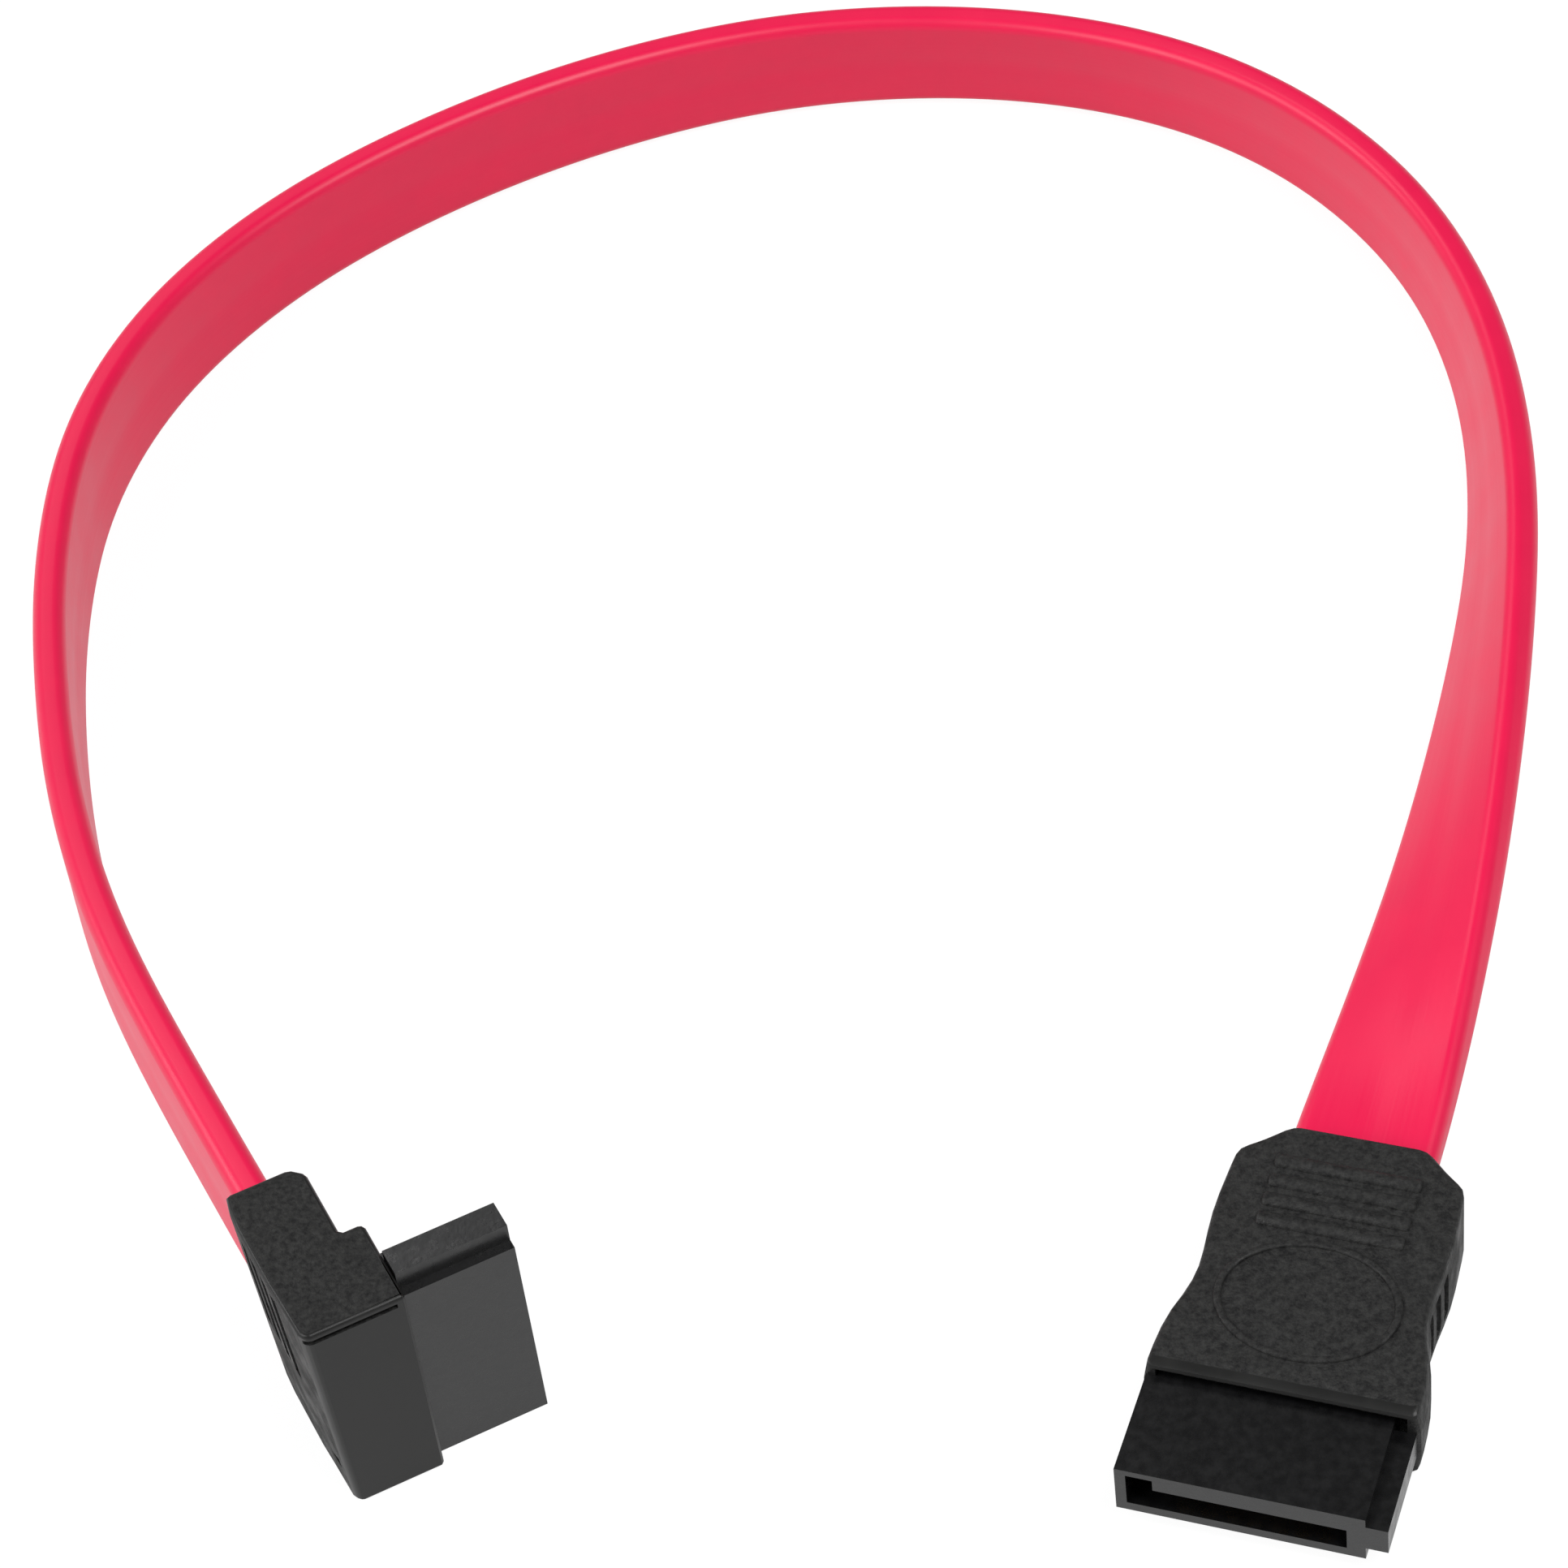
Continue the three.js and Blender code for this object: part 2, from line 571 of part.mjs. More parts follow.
const drainReach = signalPitch / 2 + signalDiameter / 2 + drainGap + drainDiameter / 2;
for (const [pair, side] of pairs) {
  const centre = side * coreOffset;
  for (const [name, place, number] of [['outer', side, 2], ['inner', -side, 1]]) {
    const offset = centre + place * (signalPitch / 2);
    const target = contactsOffset + side * number * contactPitch;
    const bareScale = bareDiameter / signalDiameter;
    addPiece(root, `pair_${pair}_${name}_signal_wire`, wire(signalDiameter, 6, offset, target, bareScale),
      looks.insulation);
  }
  const outerTarget = contactsOffset + side * ((contactCount - 1) / 2) * contactPitch;
  addPiece(root, `pair_${pair}_outer_drain_wire`,
    wire(drainDiameter, 5, centre + side * drainReach, outerTarget, 1), looks.copper);
  addPiece(root, `pair_${pair}_inner_drain_wire`,
    wire(drainDiameter, 5, centre - side * drainReach, contactsOffset + side * sharedDrain, 1), looks.copper);
}

export default root;
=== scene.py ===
import math

import bmesh
import bpy
from mathutils import Matrix, Quaternion, Vector


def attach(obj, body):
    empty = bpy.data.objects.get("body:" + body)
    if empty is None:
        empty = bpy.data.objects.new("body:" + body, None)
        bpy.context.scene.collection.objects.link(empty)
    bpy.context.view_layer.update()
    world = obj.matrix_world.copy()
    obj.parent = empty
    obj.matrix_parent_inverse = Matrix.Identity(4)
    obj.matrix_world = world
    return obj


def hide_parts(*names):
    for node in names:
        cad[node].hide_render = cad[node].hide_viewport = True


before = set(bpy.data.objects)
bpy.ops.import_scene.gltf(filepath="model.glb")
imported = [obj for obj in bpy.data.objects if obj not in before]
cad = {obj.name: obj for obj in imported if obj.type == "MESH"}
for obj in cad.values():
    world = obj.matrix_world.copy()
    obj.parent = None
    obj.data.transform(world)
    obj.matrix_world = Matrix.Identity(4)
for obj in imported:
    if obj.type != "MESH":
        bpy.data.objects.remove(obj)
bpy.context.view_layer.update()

scene = bpy.context.scene
scene.view_settings.view_transform = "Standard"

# Camera.
# The viewer stands at the two connectors and looks down over the loop at 45 degrees, with a long lens
# and the camera rolled a little clockwise.
MM = 0.001
viewer = Vector((-24.87, -164.24, 210.15)) * MM
looked_at = Vector((-24.87, 47.01, 0.0)) * MM
camera_roll = math.radians(-7.72)

camera_data = bpy.data.cameras.new("photo_camera")
camera_data.sensor_width = 36.0
camera_data.lens = 112.0
camera_data.clip_start = 0.01
camera_data.clip_end = 50.0
camera = bpy.data.objects.new("photo_camera", camera_data)
scene.collection.objects.link(camera)
camera.location = viewer
camera.rotation_mode = "QUATERNION"
level_look = (looked_at - viewer).to_track_quat("-Z", "Y")
camera.rotation_quaternion = level_look @ Quaternion((0, 0, 1), camera_roll)
scene.camera = camera

# Cable jacket.
# A flat ribbon of soft red PVC, extruded over two foil-wrapped pairs. Its skin is satin, with faint lines
# along it from the die. It leaves the right-angle connector on edge, rounds the loop on edge and turns
# flat as it goes into the straight connector.
jacket_width = 8.2
jacket_thickness = 2.08
jacket_corner = 0.78
jacket_waist = 0.05
waist_half_width = 1.5

# Two bores for the foil-wrapped pairs, each measured from the middle of its pair.
pair_from_middle = 1.805
pair_half_width = 1.695
pair_half_thickness = 0.67
pair_corner = 0.45

# Its ends are held in the two connectors. In each one's own frame, in millimetres, x points out of the mouth,
# with the mouth at 0, y runs across to the side rail and z is its thickness. The straight one lies flat and
# the right-angle one stands on its narrow end.
jacket_grip = 4.4
grip_thickness = 5.2
grip_length = 18.3
nose_length = 6.45
nose_thickness = 3.3
housing_width = 14.6
grip_rear = nose_length + grip_length

elbow_wall = 1.0
elbow_thickness = 5.75
elbow_back = 12.6
neck_length = 5.5
neck_thickness = 4.7
elbow_face = nose_thickness / 2 + elbow_wall
elbow_rear = elbow_face - elbow_thickness
neck_end = elbow_rear - neck_length
elbow_axis = elbow_back - neck_thickness / 2

base_to_mouth = 14.85
straight_turn = math.radians(-113.75)
straight_mouth = Vector((base_to_mouth * math.cos(straight_turn), base_to_mouth * math.sin(straight_turn),
                         grip_thickness / 2))
straight_place = Matrix.Translation(straight_mouth) @ Matrix.Rotation(straight_turn, 4, "Z")
angled_turn = math.radians(20.7)
angled_mouth = Vector((-42.76, 3.53, housing_width / 2))
angled_place = Matrix.Translation(angled_mouth) @ Matrix.Rotation(angled_turn, 4, "Z") @ Matrix.Rotation(
    math.radians(90), 4, "X")

# Centre line from one connector to the other, in metres, and the lean of its width inwards in degrees.
jacket_route = [
    (-0.0583, 0.0153, 0.0073, 0), (-0.0641, 0.0309, 0.00685, 0),
    (-0.0671, 0.0434, 0.006, 0.5), (-0.0685, 0.0556, 0.005, 1),
    (-0.06872, 0.0683, 0.00435, 0.5), (-0.06695, 0.0806, 0.0042, 0),
    (-0.0621, 0.0914, 0.0042, 0.5), (-0.054, 0.1005, 0.0042, 2.5),
    (-0.0435, 0.10725, 0.00425, 5), (-0.0313, 0.11195, 0.00428, 7),
    (-0.0183, 0.1139, 0.00432, 9.5), (-0.0053, 0.1121, 0.00435, 11.5),
    (0.0063, 0.10685, 0.00435, 11.5), (0.0151, 0.0984, 0.00432, 8.5),
    (0.021, 0.0867, 0.00425, 2), (0.02305, 0.0732, 0.00425, -7),
    (0.0217, 0.0587, 0.0044, -18.5), (0.0178, 0.044, 0.0043, -32.5),
    (0.0129, 0.0298, 0.00385, -49), (0.00775, 0.0174, 0.0031, -70.5),
]
steps_per_point = 10
smoothing_passes = 14


def angled_cable(depth):
    """A point of the cable's centre line, this far inside the right-angle connector."""
    return angled_place @ Vector((-elbow_axis, 0, neck_end + depth)) * MM


def straight_cable(depth):
    """A point of the cable's centre line, this far inside the straight connector."""
    return straight_place @ Vector((-grip_rear + depth, 0, 0)) * MM


def spline_point(points, u):
    """A point on the smooth curve through these points; u counts in points."""
    i = min(int(u), len(points) - 2)
    t = u - i
    before, here, ahead, after = (points[max(0, min(len(points) - 1, i + k))] for k in (-1, 0, 1, 2))
    if i == 0:
        before = 2 * here - ahead
    if i == len(points) - 2:
        after = 2 * ahead - here
    slope, next_slope = (ahead - before) / 2, (after - here) / 2
    return ((2 * t ** 3 - 3 * t ** 2 + 1) * here + (t ** 3 - 2 * t ** 2 + t) * slope
            + (3 * t ** 2 - 2 * t ** 3) * ahead + (t ** 3 - t ** 2) * next_slope)


route_points = [angled_cable(jacket_grip), angled_cable(0)]
route_points += [Vector(row[:3]) for row in jacket_route]
route_points += [straight_cable(0), straight_cable(jacket_grip)]
leans = [0.0, 0.0] + [float(row[3]) for row in jacket_route] + [-90.0, -90.0]

step_count = steps_per_point * (len(route_points) - 1)
centres = [spline_point(route_points, i / steps_per_point) for i in range(step_count + 1)]
tilts = [spline_point(leans, i / steps_per_point) for i in range(step_count + 1)]
free_steps = range(steps_per_point, step_count - steps_per_point + 1)
for _ in range(smoothing_passes):
    smoothed = {i: (centres[i - 1] + 2 * centres[i] + centres[i + 1]) / 4 for i in free_steps}
    evened = {i: (tilts[i - 1] + 2 * tilts[i] + tilts[i + 1]) / 4 for i in free_steps}
    for i in free_steps:
        centres[i] = smoothed[i]
        tilts[i] = evened[i]


def ribbon_axes(i):
    """The directions of the ribbon's width and of its inner face at a step."""
    along = (centres[min(i + 1, step_count)] - centres[max(i - 1, 0)]).normalized()
    inward = along.cross(Vector((0, 0, 1))).normalized()
    upward = inward.cross(along)
    lean = math.radians(tilts[i])
    width = upward * math.cos(lean) + inward * math.sin(lean)
    face = inward * math.cos(lean) - upward * math.sin(lean)
    return width, face


def corner_arc(quarter, middle, half_width, half_thickness, radius, steps):
    """One of the four rounded corners of a flat section whose middle is this far across the cable."""
    side_x, side_y = ((1, 1), (-1, 1), (-1, -1), (1, -1))[quarter]
    arc = []
    for i in range(steps + 1):
        turn = math.radians(90 * quarter + 90 * i / steps)
        arc.append((middle + side_x * (half_width - radius) + radius * math.cos(turn),
                    side_y * (half_thickness - radius) + radius * math.sin(turn)))
    return arc


def jacket_section():
    """The jacket's outline: flat faces with a shallow waist between the two pairs, and round edges."""
    points = []
    half_thickness = jacket_thickness / 2
    for quarter in range(4):
        points += corner_arc(quarter, 0, jacket_width / 2, half_thickness, jacket_corner, steps=6)
        if quarter in (0, 2):
            side = 1 - quarter
            for x in (2.2, 1.5, 0.9, 0.45, 0.0, -0.45, -0.9, -1.5, -2.2):
                waist = jacket_waist * (0.5 + 0.5 * math.cos(math.pi * min(1, abs(x) / waist_half_width)))
                points.append((side * x, side * (half_thickness - waist)))
    return points


def bore_section(side):
    """The outline of one of the two bores that the foil-wrapped pairs fill."""
    points = []
    for quarter in range(4):
        points += corner_arc(quarter, side * pair_from_middle, pair_half_width, pair_half_thickness,
                             pair_corner, steps=2)
    return points


jacket_bm = bmesh.new()
along_layer = jacket_bm.verts.layers.float.new("along")
across_layer = jacket_bm.verts.layers.float.new("across")


def set_ring(verts, outline, i, travelled):
    """Puts a ring of the jacket at a step and notes how far along and across the cable it is."""
    width, face = ribbon_axes(i)
    for vert, (x, y) in zip(verts, outline):
        vert.co = centres[i] + width * x * MM + face * y * MM
        vert[along_layer] = travelled
        vert[across_layer] = x * MM


rings = []
for outline in (jacket_section(), bore_section(-1), bore_section(1)):
    verts = [jacket_bm.verts.new((x, y, 0)) for x, y in outline]
    edges = [jacket_bm.edges.new((verts[k], verts[(k + 1) % len(verts)])) for k in range(len(verts))]
    set_ring(verts, outline, 0, 0.0)
    rings.append((outline, verts, edges))
first_edges = [edge for ring in rings for edge in ring[2]]
bmesh.ops.triangle_fill(jacket_bm, use_beauty=True, use_dissolve=False, edges=first_edges)
last_edges = []
for outline, verts, edges in rings:
    travelled = 0.0
    for i in range(1, step_count + 1):
        travelled += (centres[i] - centres[i - 1]).length
        made = bmesh.ops.extrude_edge_only(jacket_bm, edges=edges)["geom"]
        edges = [g for g in made if isinstance(g, bmesh.types.BMEdge) and not any(
            v in verts for v in g.verts)]
        ahead = {v for edge in edges for v in edge.verts}
        verts = [next(e.other_vert(v) for e in v.link_edges if e.other_vert(v) in ahead) for v in verts]
        set_ring(verts, outline, i, travelled)
    last_edges += edges
bmesh.ops.triangle_fill(jacket_bm, use_beauty=True, use_dissolve=False, edges=last_edges)
bmesh.ops.recalc_face_normals(jacket_bm, faces=jacket_bm.faces)


def linear(hex_colour):
    """A written sRGB colour as the linear values that shaders take."""
    channels = [int(hex_colour[k:k + 2], 16) / 255 for k in (1, 3, 5)]
    return [c / 12.92 if c <= 0.04045 else ((c + 0.055) / 1.055) ** 2.4 for c in channels] + [1.0]


def cells(size):
    """The scale of a pattern whose cells are this many millimetres across."""
    return 1 / (size * MM)


def add_node(tree, kind, inputs, **settings):
    """Adds a node with its settings; each input is a value or another node's output."""
    made = tree.nodes.new(kind)
    for name, value in settings.items():
        setattr(made, name, value)
    for name, value in inputs.items():
        if isinstance(value, bpy.types.NodeSocket):
            tree.links.new(value, made.inputs[name])
        else:
            made.inputs[name].default_value = value
    return made


def new_material(name, **shader_values):
    """A material with its tree and shader, and values that are the same all over set on the shader."""
    material = bpy.data.materials.new(name)
    material.use_nodes = True
    shader = material.node_tree.nodes["Principled BSDF"]
    for socket, value in shader_values.items():
        shader.inputs[socket.replace("_", " ")].default_value = value
    return material, material.node_tree, shader


# Soft PVC straight from the die: a deep satin red. The pigment mottles it in patches 4 mm across, and the
# die's lines run along it, drawn 0.36 mm apart where the real ones are finer.
jacket_pvc, tree, shader = new_material("extruded_red_pvc", IOR=1.5)
along = add_node(tree, "ShaderNodeAttribute", {}, attribute_name="along").outputs["Fac"]
across = add_node(tree, "ShaderNodeAttribute", {}, attribute_name="across").outputs["Fac"]
on_skin = add_node(tree, "ShaderNodeCombineXYZ", {"X": along, "Y": across}).outputs["Vector"]
mottle = add_node(tree, "ShaderNodeTexNoise", {"Vector": on_skin, "Scale": cells(3.846), "Detail": 3.0})
drawn_out = add_node(tree, "ShaderNodeMapping", {"Vector": on_skin, "Scale": (cells(167), cells(0.357), 1.0)})
die_lines = add_node(tree, "ShaderNodeTexNoise", {"Vector": drawn_out.outputs["Vector"], "Scale": 1.0,
                                                  "Detail": 2.0})
pigment = add_node(tree, "ShaderNodeMix", {0: mottle.outputs["Fac"], 6: linear("#ea0d4c"),
                                           7: linear("#f5124f")}, data_type="RGBA")
tree.links.new(pigment.outputs[2], shader.inputs["Base Color"])
gloss = add_node(tree, "ShaderNodeMapRange", {"Value": mottle.outputs["Fac"], "To Min": 0.34, "To Max": 0.46})
tree.links.new(gloss.outputs["Result"], shader.inputs["Roughness"])
skin = add_node(tree, "ShaderNodeBump", {"Height": die_lines.outputs["Fac"], "Strength": 0.35,
                                         "Distance": 0.03 * MM})
tree.links.new(skin.outputs["Normal"], shader.inputs["Normal"])

# Edges that turn more than this stay crisp, and the wide flat faces beside the rounded ones stay even.
sharp_turn = math.radians(40)


def add_piece(name, bm, material, record_slot, *nodes, place=None):
    """Makes a piece of a bmesh, puts it on the root body and hides its CAD nodes.

    With a place, the bmesh is in the millimetres of a connector's own frame. Without one it is already in
    the metres of the scene.
    """
    if place is not None:
        bmesh.ops.transform(bm, matrix=Matrix.Scale(MM, 4) @ place, verts=bm.verts)
    mesh = bpy.data.meshes.new(name)
    bm.to_mesh(mesh)
    bm.free()
    mesh.shade_smooth()
    mesh.set_sharp_from_angle(angle=sharp_turn)
    mesh.materials.append(material)
    piece = bpy.data.objects.new(name, mesh)
    scene.collection.objects.link(piece)
    flat_faces = piece.modifiers.new("flat_faces", "WEIGHTED_NORMAL")
    flat_faces.keep_sharp = True
    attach(piece, "root")
    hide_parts(*nodes)
    return piece


jacket = add_piece("red_cable_jacket", jacket_bm, jacket_pvc, "jacket", "cable_jacket")

# Foil shields and wires.
# Inside the jacket, each pair of signal wires lies in a sleeve of aluminium foil with a bare tinned drain
# wire on each side. The signal wires are copper in white foamed polyethylene.
weld_reach = 0.002
flat_turn = math.radians(1)


def dress(node_name, material, edge=0.0):
    """Gives a CAD node its material and, where asked, rounded edges of that radius in millimetres."""
    node = cad[node_name]
    node.data.materials.clear()
    node.data.materials.append(material)
    weld = node.modifiers.new("weld", "WELD")
    weld.merge_threshold = weld_reach * MM
    if edge:
        flat = node.modifiers.new("flat", "DECIMATE")
        flat.decimate_type = "DISSOLVE"
        flat.angle_limit = flat_turn
        rounding = node.modifiers.new("rounding", "BEVEL")
        rounding.width = edge * MM
        rounding.segments = 2
        rounding.limit_method = "ANGLE"
        rounding.angle_limit = sharp_turn
    return node


# Rolled aluminium foil, bright and cool, with soft creases about 1 mm apart from being wrapped.
foil, tree, shader = new_material("aluminium_foil", Metallic=1.0, Roughness=0.28)
spot = add_node(tree, "ShaderNodeTexCoord", {}).outputs["Object"]
creases = add_node(tree, "ShaderNodeTexNoise", {"Vector": spot, "Scale": cells(1.11), "Detail": 4.0})
foil_tone = add_node(tree, "ShaderNodeMix", {0: creases.outputs["Fac"], 6: linear("#c9cccf"),
                                             7: linear("#e4e6e8")}, data_type="RGBA")
tree.links.new(foil_tone.outputs[2], shader.inputs["Base Color"])
crumple = add_node(tree, "ShaderNodeBump", {"Height": creases.outputs["Fac"], "Strength": 0.4,
                                            "Distance": 0.05 * MM})
tree.links.new(crumple.outputs["Normal"], shader.inputs["Normal"])

# Extruded foam with a closed skin: a soft white, with its cells drawn 0.33 mm across where the real ones
# are nearer 0.05 mm.
insulation, tree, shader = new_material("foamed_polyethylene", Roughness=0.5, IOR=1.5)
spot = add_node(tree, "ShaderNodeTexCoord", {}).outputs["Object"]
foam = add_node(tree, "ShaderNodeTexNoise", {"Vector": spot, "Scale": cells(0.333), "Detail": 2.0})
foam_tone = add_node(tree, "ShaderNodeMix", {0: foam.outputs["Fac"], 6: linear("#e3e0d8"),
                                             7: linear("#f2f0ea")}, data_type="RGBA")
tree.links.new(foam_tone.outputs[2], shader.inputs["Base Color"])

# Drawn copper with hot-dipped tin: a warm grey metal that dulls in patches 0.7 mm long.
tinned_copper, tree, shader = new_material("tinned_copper_wire", Metallic=1.0, Roughness=0.3)
spot = add_node(tree, "ShaderNodeTexCoord", {}).outputs["Object"]
tarnish = add_node(tree, "ShaderNodeTexNoise", {"Vector": spot, "Scale": cells(0.667), "Detail": 3.0})
tin_tone = add_node(tree, "ShaderNodeMix", {0: tarnish.outputs["Fac"], 6: linear("#b4b1ab"),
                                            7: linear("#d6d4cf")}, data_type="RGBA")
tree.links.new(tin_tone.outputs[2], shader.inputs["Base Color"])

for pair in ("a", "b"):
    dress(f"pair_{pair}_foil_shield", foil)
    for lie in ("outer", "inner"):
        dress(f"pair_{pair}_{lie}_signal_wire", insulation)
        dress(f"pair_{pair}_{lie}_drain_wire", tinned_copper)

# Receptacle housings with their contacts.
# Each is one hard moulding in black glass-filled polyester, with the L-shaped slot, the side rail and seven
# channels. Seven gold-plated spring contacts are pushed into it from behind.
housing_edge = 0.12
contact_edge = 0.04

# Glass-filled polyester from a polished mould: nearly black, with a reflection that wavers where the melt
# flowed, in patches 0.6 mm across. The glass specks are drawn 0.24 mm across where the real ones are finer.
housing_polyester, tree, shader = new_material("black_glass_filled_polyester", IOR=1.6)
spot = add_node(tree, "ShaderNodeTexCoord", {}).outputs["Object"]
flow = add_node(tree, "ShaderNodeTexNoise", {"Vector": spot, "Scale": cells(0.625), "Detail": 4.0})
glass_specks = add_node(tree, "ShaderNodeTexNoise", {"Vector": spot, "Scale": cells(0.238), "Detail": 2.0})
housing_tone = add_node(tree, "ShaderNodeMix", {0: glass_specks.outputs["Fac"], 6: linear("#060607"),
                                                7: linear("#121213")}, data_type="RGBA")
tree.links.new(housing_tone.outputs[2], shader.inputs["Base Color"])
polish = add_node(tree, "ShaderNodeMapRange", {"Value": flow.outputs["Fac"], "From Min": 0.35,
                                               "From Max": 0.65, "To Min": 0.25, "To Max": 0.35})
tree.links.new(polish.outputs["Result"], shader.inputs["Roughness"])
housing_skin = add_node(tree, "ShaderNodeBump", {"Height": glass_specks.outputs["Fac"], "Strength": 0.25,
                                                 "Distance": 0.02 * MM})
tree.links.new(housing_skin.outputs["Normal"], shader.inputs["Normal"])

# Gold from a plating bath over sprung copper: warm and bright, with wiped duller patches 0.4 mm across.
gold_plating, tree, shader = new_material("gold_plated_contact", Metallic=1.0)
spot = add_node(tree, "ShaderNodeTexCoord", {}).outputs["Object"]
plating = add_node(tree, "ShaderNodeTexNoise", {"Vector": spot, "Scale": cells(0.4), "Detail": 3.0})
gold_tone = add_node(tree, "ShaderNodeMix", {0: plating.outputs["Fac"], 6: linear("#c99a3f"),
                                             7: linear("#e6c069")}, data_type="RGBA")
tree.links.new(gold_tone.outputs[2], shader.inputs["Base Color"])
wipe = add_node(tree, "ShaderNodeMapRange", {"Value": plating.outputs["Fac"], "To Min": 0.18, "To Max": 0.32})
tree.links.new(wipe.outputs["Result"], shader.inputs["Roughness"])

for connector in ("straight", "angled"):
    dress(f"{connector}_housing", housing_polyester, edge=housing_edge)
    for number in range(1, 8):
        dress(f"{connector}_contact_{number}", gold_plating, edge=contact_edge)

# Inner moulds.
# A hard sleeve of natural polyethylene is moulded round the soldered joints of each connector before the
# black overmould goes on, and none of it shows from outside.
inner_edge = 0.15

# Polyethylene without pigment, from a plain mould: waxy, off-white and clouded in patches 1.25 mm across.
natural_polyethylene, tree, shader = new_material("natural_polyethylene", Roughness=0.45, IOR=1.5)
spot = add_node(tree, "ShaderNodeTexCoord", {}).outputs["Object"]
cloud = add_node(tree, "ShaderNodeTexNoise", {"Vector": spot, "Scale": cells(1.25), "Detail": 3.0})
cloud_tone = add_node(tree, "ShaderNodeMix", {0: cloud.outputs["Fac"], 6: linear("#d3cfc3"),
                                              7: linear("#e3e0d7")}, data_type="RGBA")
tree.links.new(cloud_tone.outputs[2], shader.inputs["Base Color"])
for connector in ("straight", "angled"):
    dress(f"{connector}_inner_mould", natural_polyethylene, edge=inner_edge)

# Straight overmould.
# Soft black PVC injected round the housing's tail, the inner mould and the cable's end, in a spark-eroded
# mould that leaves a fine grain. Its shoulders draw in to the cable, ribs and a plain oval line stand on its
# top, finger pockets are sunk in its sides, and a lip stands proud of the housing.

# One half of its outline at the widest level, from the rear end to the lip.
grip_half_outline = [
    (-24.35, 3.4), (-24.27, 3.75), (-24.0, 4.15), (-23.55, 4.62), (-23.1, 5.1), (-22.75, 5.52), (-22.45, 5.9),
    (-22.15, 6.2), (-21.7, 6.36), (-20.9, 6.43), (-20.0, 6.48), (-18.8, 6.54), (-17.5, 6.55), (-16.2, 6.47),
    (-14.9, 6.35), (-13.7, 6.3), (-12.6, 6.4), (-11.5, 6.64), (-10.4, 6.95), (-9.2, 7.16), (-8.0, 7.25),
    (-7.0, 7.28), (-6.62, 7.22), (-6.45, 7.0),
]

# The draft is greatest at the lip and gone before the rear end. The rounded edge draws the sides in, less at
# the lip, and brings the rear end forward. The slope to the lip takes up the front eighth.
grip_draft = 0.28
draft_fade = 1.3
grip_middle = 1.0
grip_edge = 0.4
edge_at_front = 0.4
front_fade = 6
rear_fade = 6
lip_slope = 0.95
lip_fade = 8
lip_reach = 1.2

rib_count = 4
rib_pitch = 1.38
rib_from_rear = 3.175
rib_half_width = 0.5163
rib_length = 8.2
rib_height = 0.3
rib_root = 0.12
rib_end_rounding = 0.2

oval_centre = -12.45
oval_along = 8.2
oval_across = 10.2
oval_line = 0.44
oval_height = 0.17
oval_root = 0.15
oval_rounding = 0.15
oval_points = 96

pocket_count = 3
pocket_pitch = 1.45
pocket_width = 0.85
pocket_first = -13.65
pocket_floor = 6.2
pocket_outside = 8.0
pocket_low = -1.7
pocket_high = 1.5
pocket_corner = 0.12

# Room for the housing, its tail, the inner mould and the jacket. A carving tool runs past the faces that it
# opens.
recess_depth = 1.2
recess_inset = 0.5
recess_half = housing_width / 2 - recess_inset
recess_high = 2.15
inner_width = 10.4
inner_thickness = 3.0
tail_length = 2.4
tail_width = 11.2
tail_thickness = 2.6
jacket_hole_corner = 0.5
held_fit = 0.12
past_face = 1.0


def raised_outline(levels):
    """A bmesh block: an outline in x and y, raised through levels that each have their own outline."""
    bm = bmesh.new()
    order = bm.verts.layers.int.new("order")
    first, outline = levels[0]
    verts = [bm.verts.new((x, y, first)) for x, y in outline]
    for number, vert in enumerate(verts):
        vert[order] = number
    top = bm.faces.new(verts)
    for level, outline in levels[1:]:
        raised = bmesh.ops.extrude_face_region(bm, geom=[top])["geom"]
        top = next(g for g in raised if isinstance(g, bmesh.types.BMFace))
        for vert in top.verts:
            vert.co = (*outline[vert[order]], level)
    bmesh.ops.recalc_face_normals(bm, faces=bm.faces)
    return bm


def round_edges(bm, edges, radius, segments=3):
    """Rounds some edges of a bmesh."""
    bmesh.ops.bevel(bm, geom=list(edges), offset=radius, offset_type="OFFSET", segments=segments, profile=0.5,
                    affect="EDGES", clamp_overlap=True, material=-1)


def add_block(bm, low, high, corner=0.0):
    """Adds a block between two corners to a bmesh, with rounded edges where asked."""
    size = Vector(high) - Vector(low)
    middle = (Vector(high) + Vector(low)) / 2
    place = Matrix.Translation(middle) @ Matrix.Diagonal((*size, 1.0))
    made = bmesh.ops.create_cube(bm, size=1.0, matrix=place)["verts"]
    if corner:
        round_edges(bm, {e for v in made for e in v.link_edges}, corner)


def carve(body, tool):
    """The first bmesh without the second; both are used up."""
    made = []
    for name, bm in (("carved", body), ("carver", tool)):
        mesh = bpy.data.meshes.new(name)
        bm.to_mesh(mesh)
        bm.free()
        thing = bpy.data.objects.new(name, mesh)
        scene.collection.objects.link(thing)
        made.append(thing)
    cut = made[0].modifiers.new("cut", "BOOLEAN")
    cut.operation = "DIFFERENCE"
    cut.solver = "EXACT"
    cut.use_self = True
    cut.object = made[1]
    evaluated = made[0].evaluated_get(bpy.context.evaluated_depsgraph_get())
    result = bmesh.new()
    result.from_mesh(evaluated.to_mesh())
    evaluated.to_mesh_clear()
    for thing in made:
        mesh = thing.data
        bpy.data.objects.remove(thing)
        bpy.data.meshes.remove(mesh)
    return result


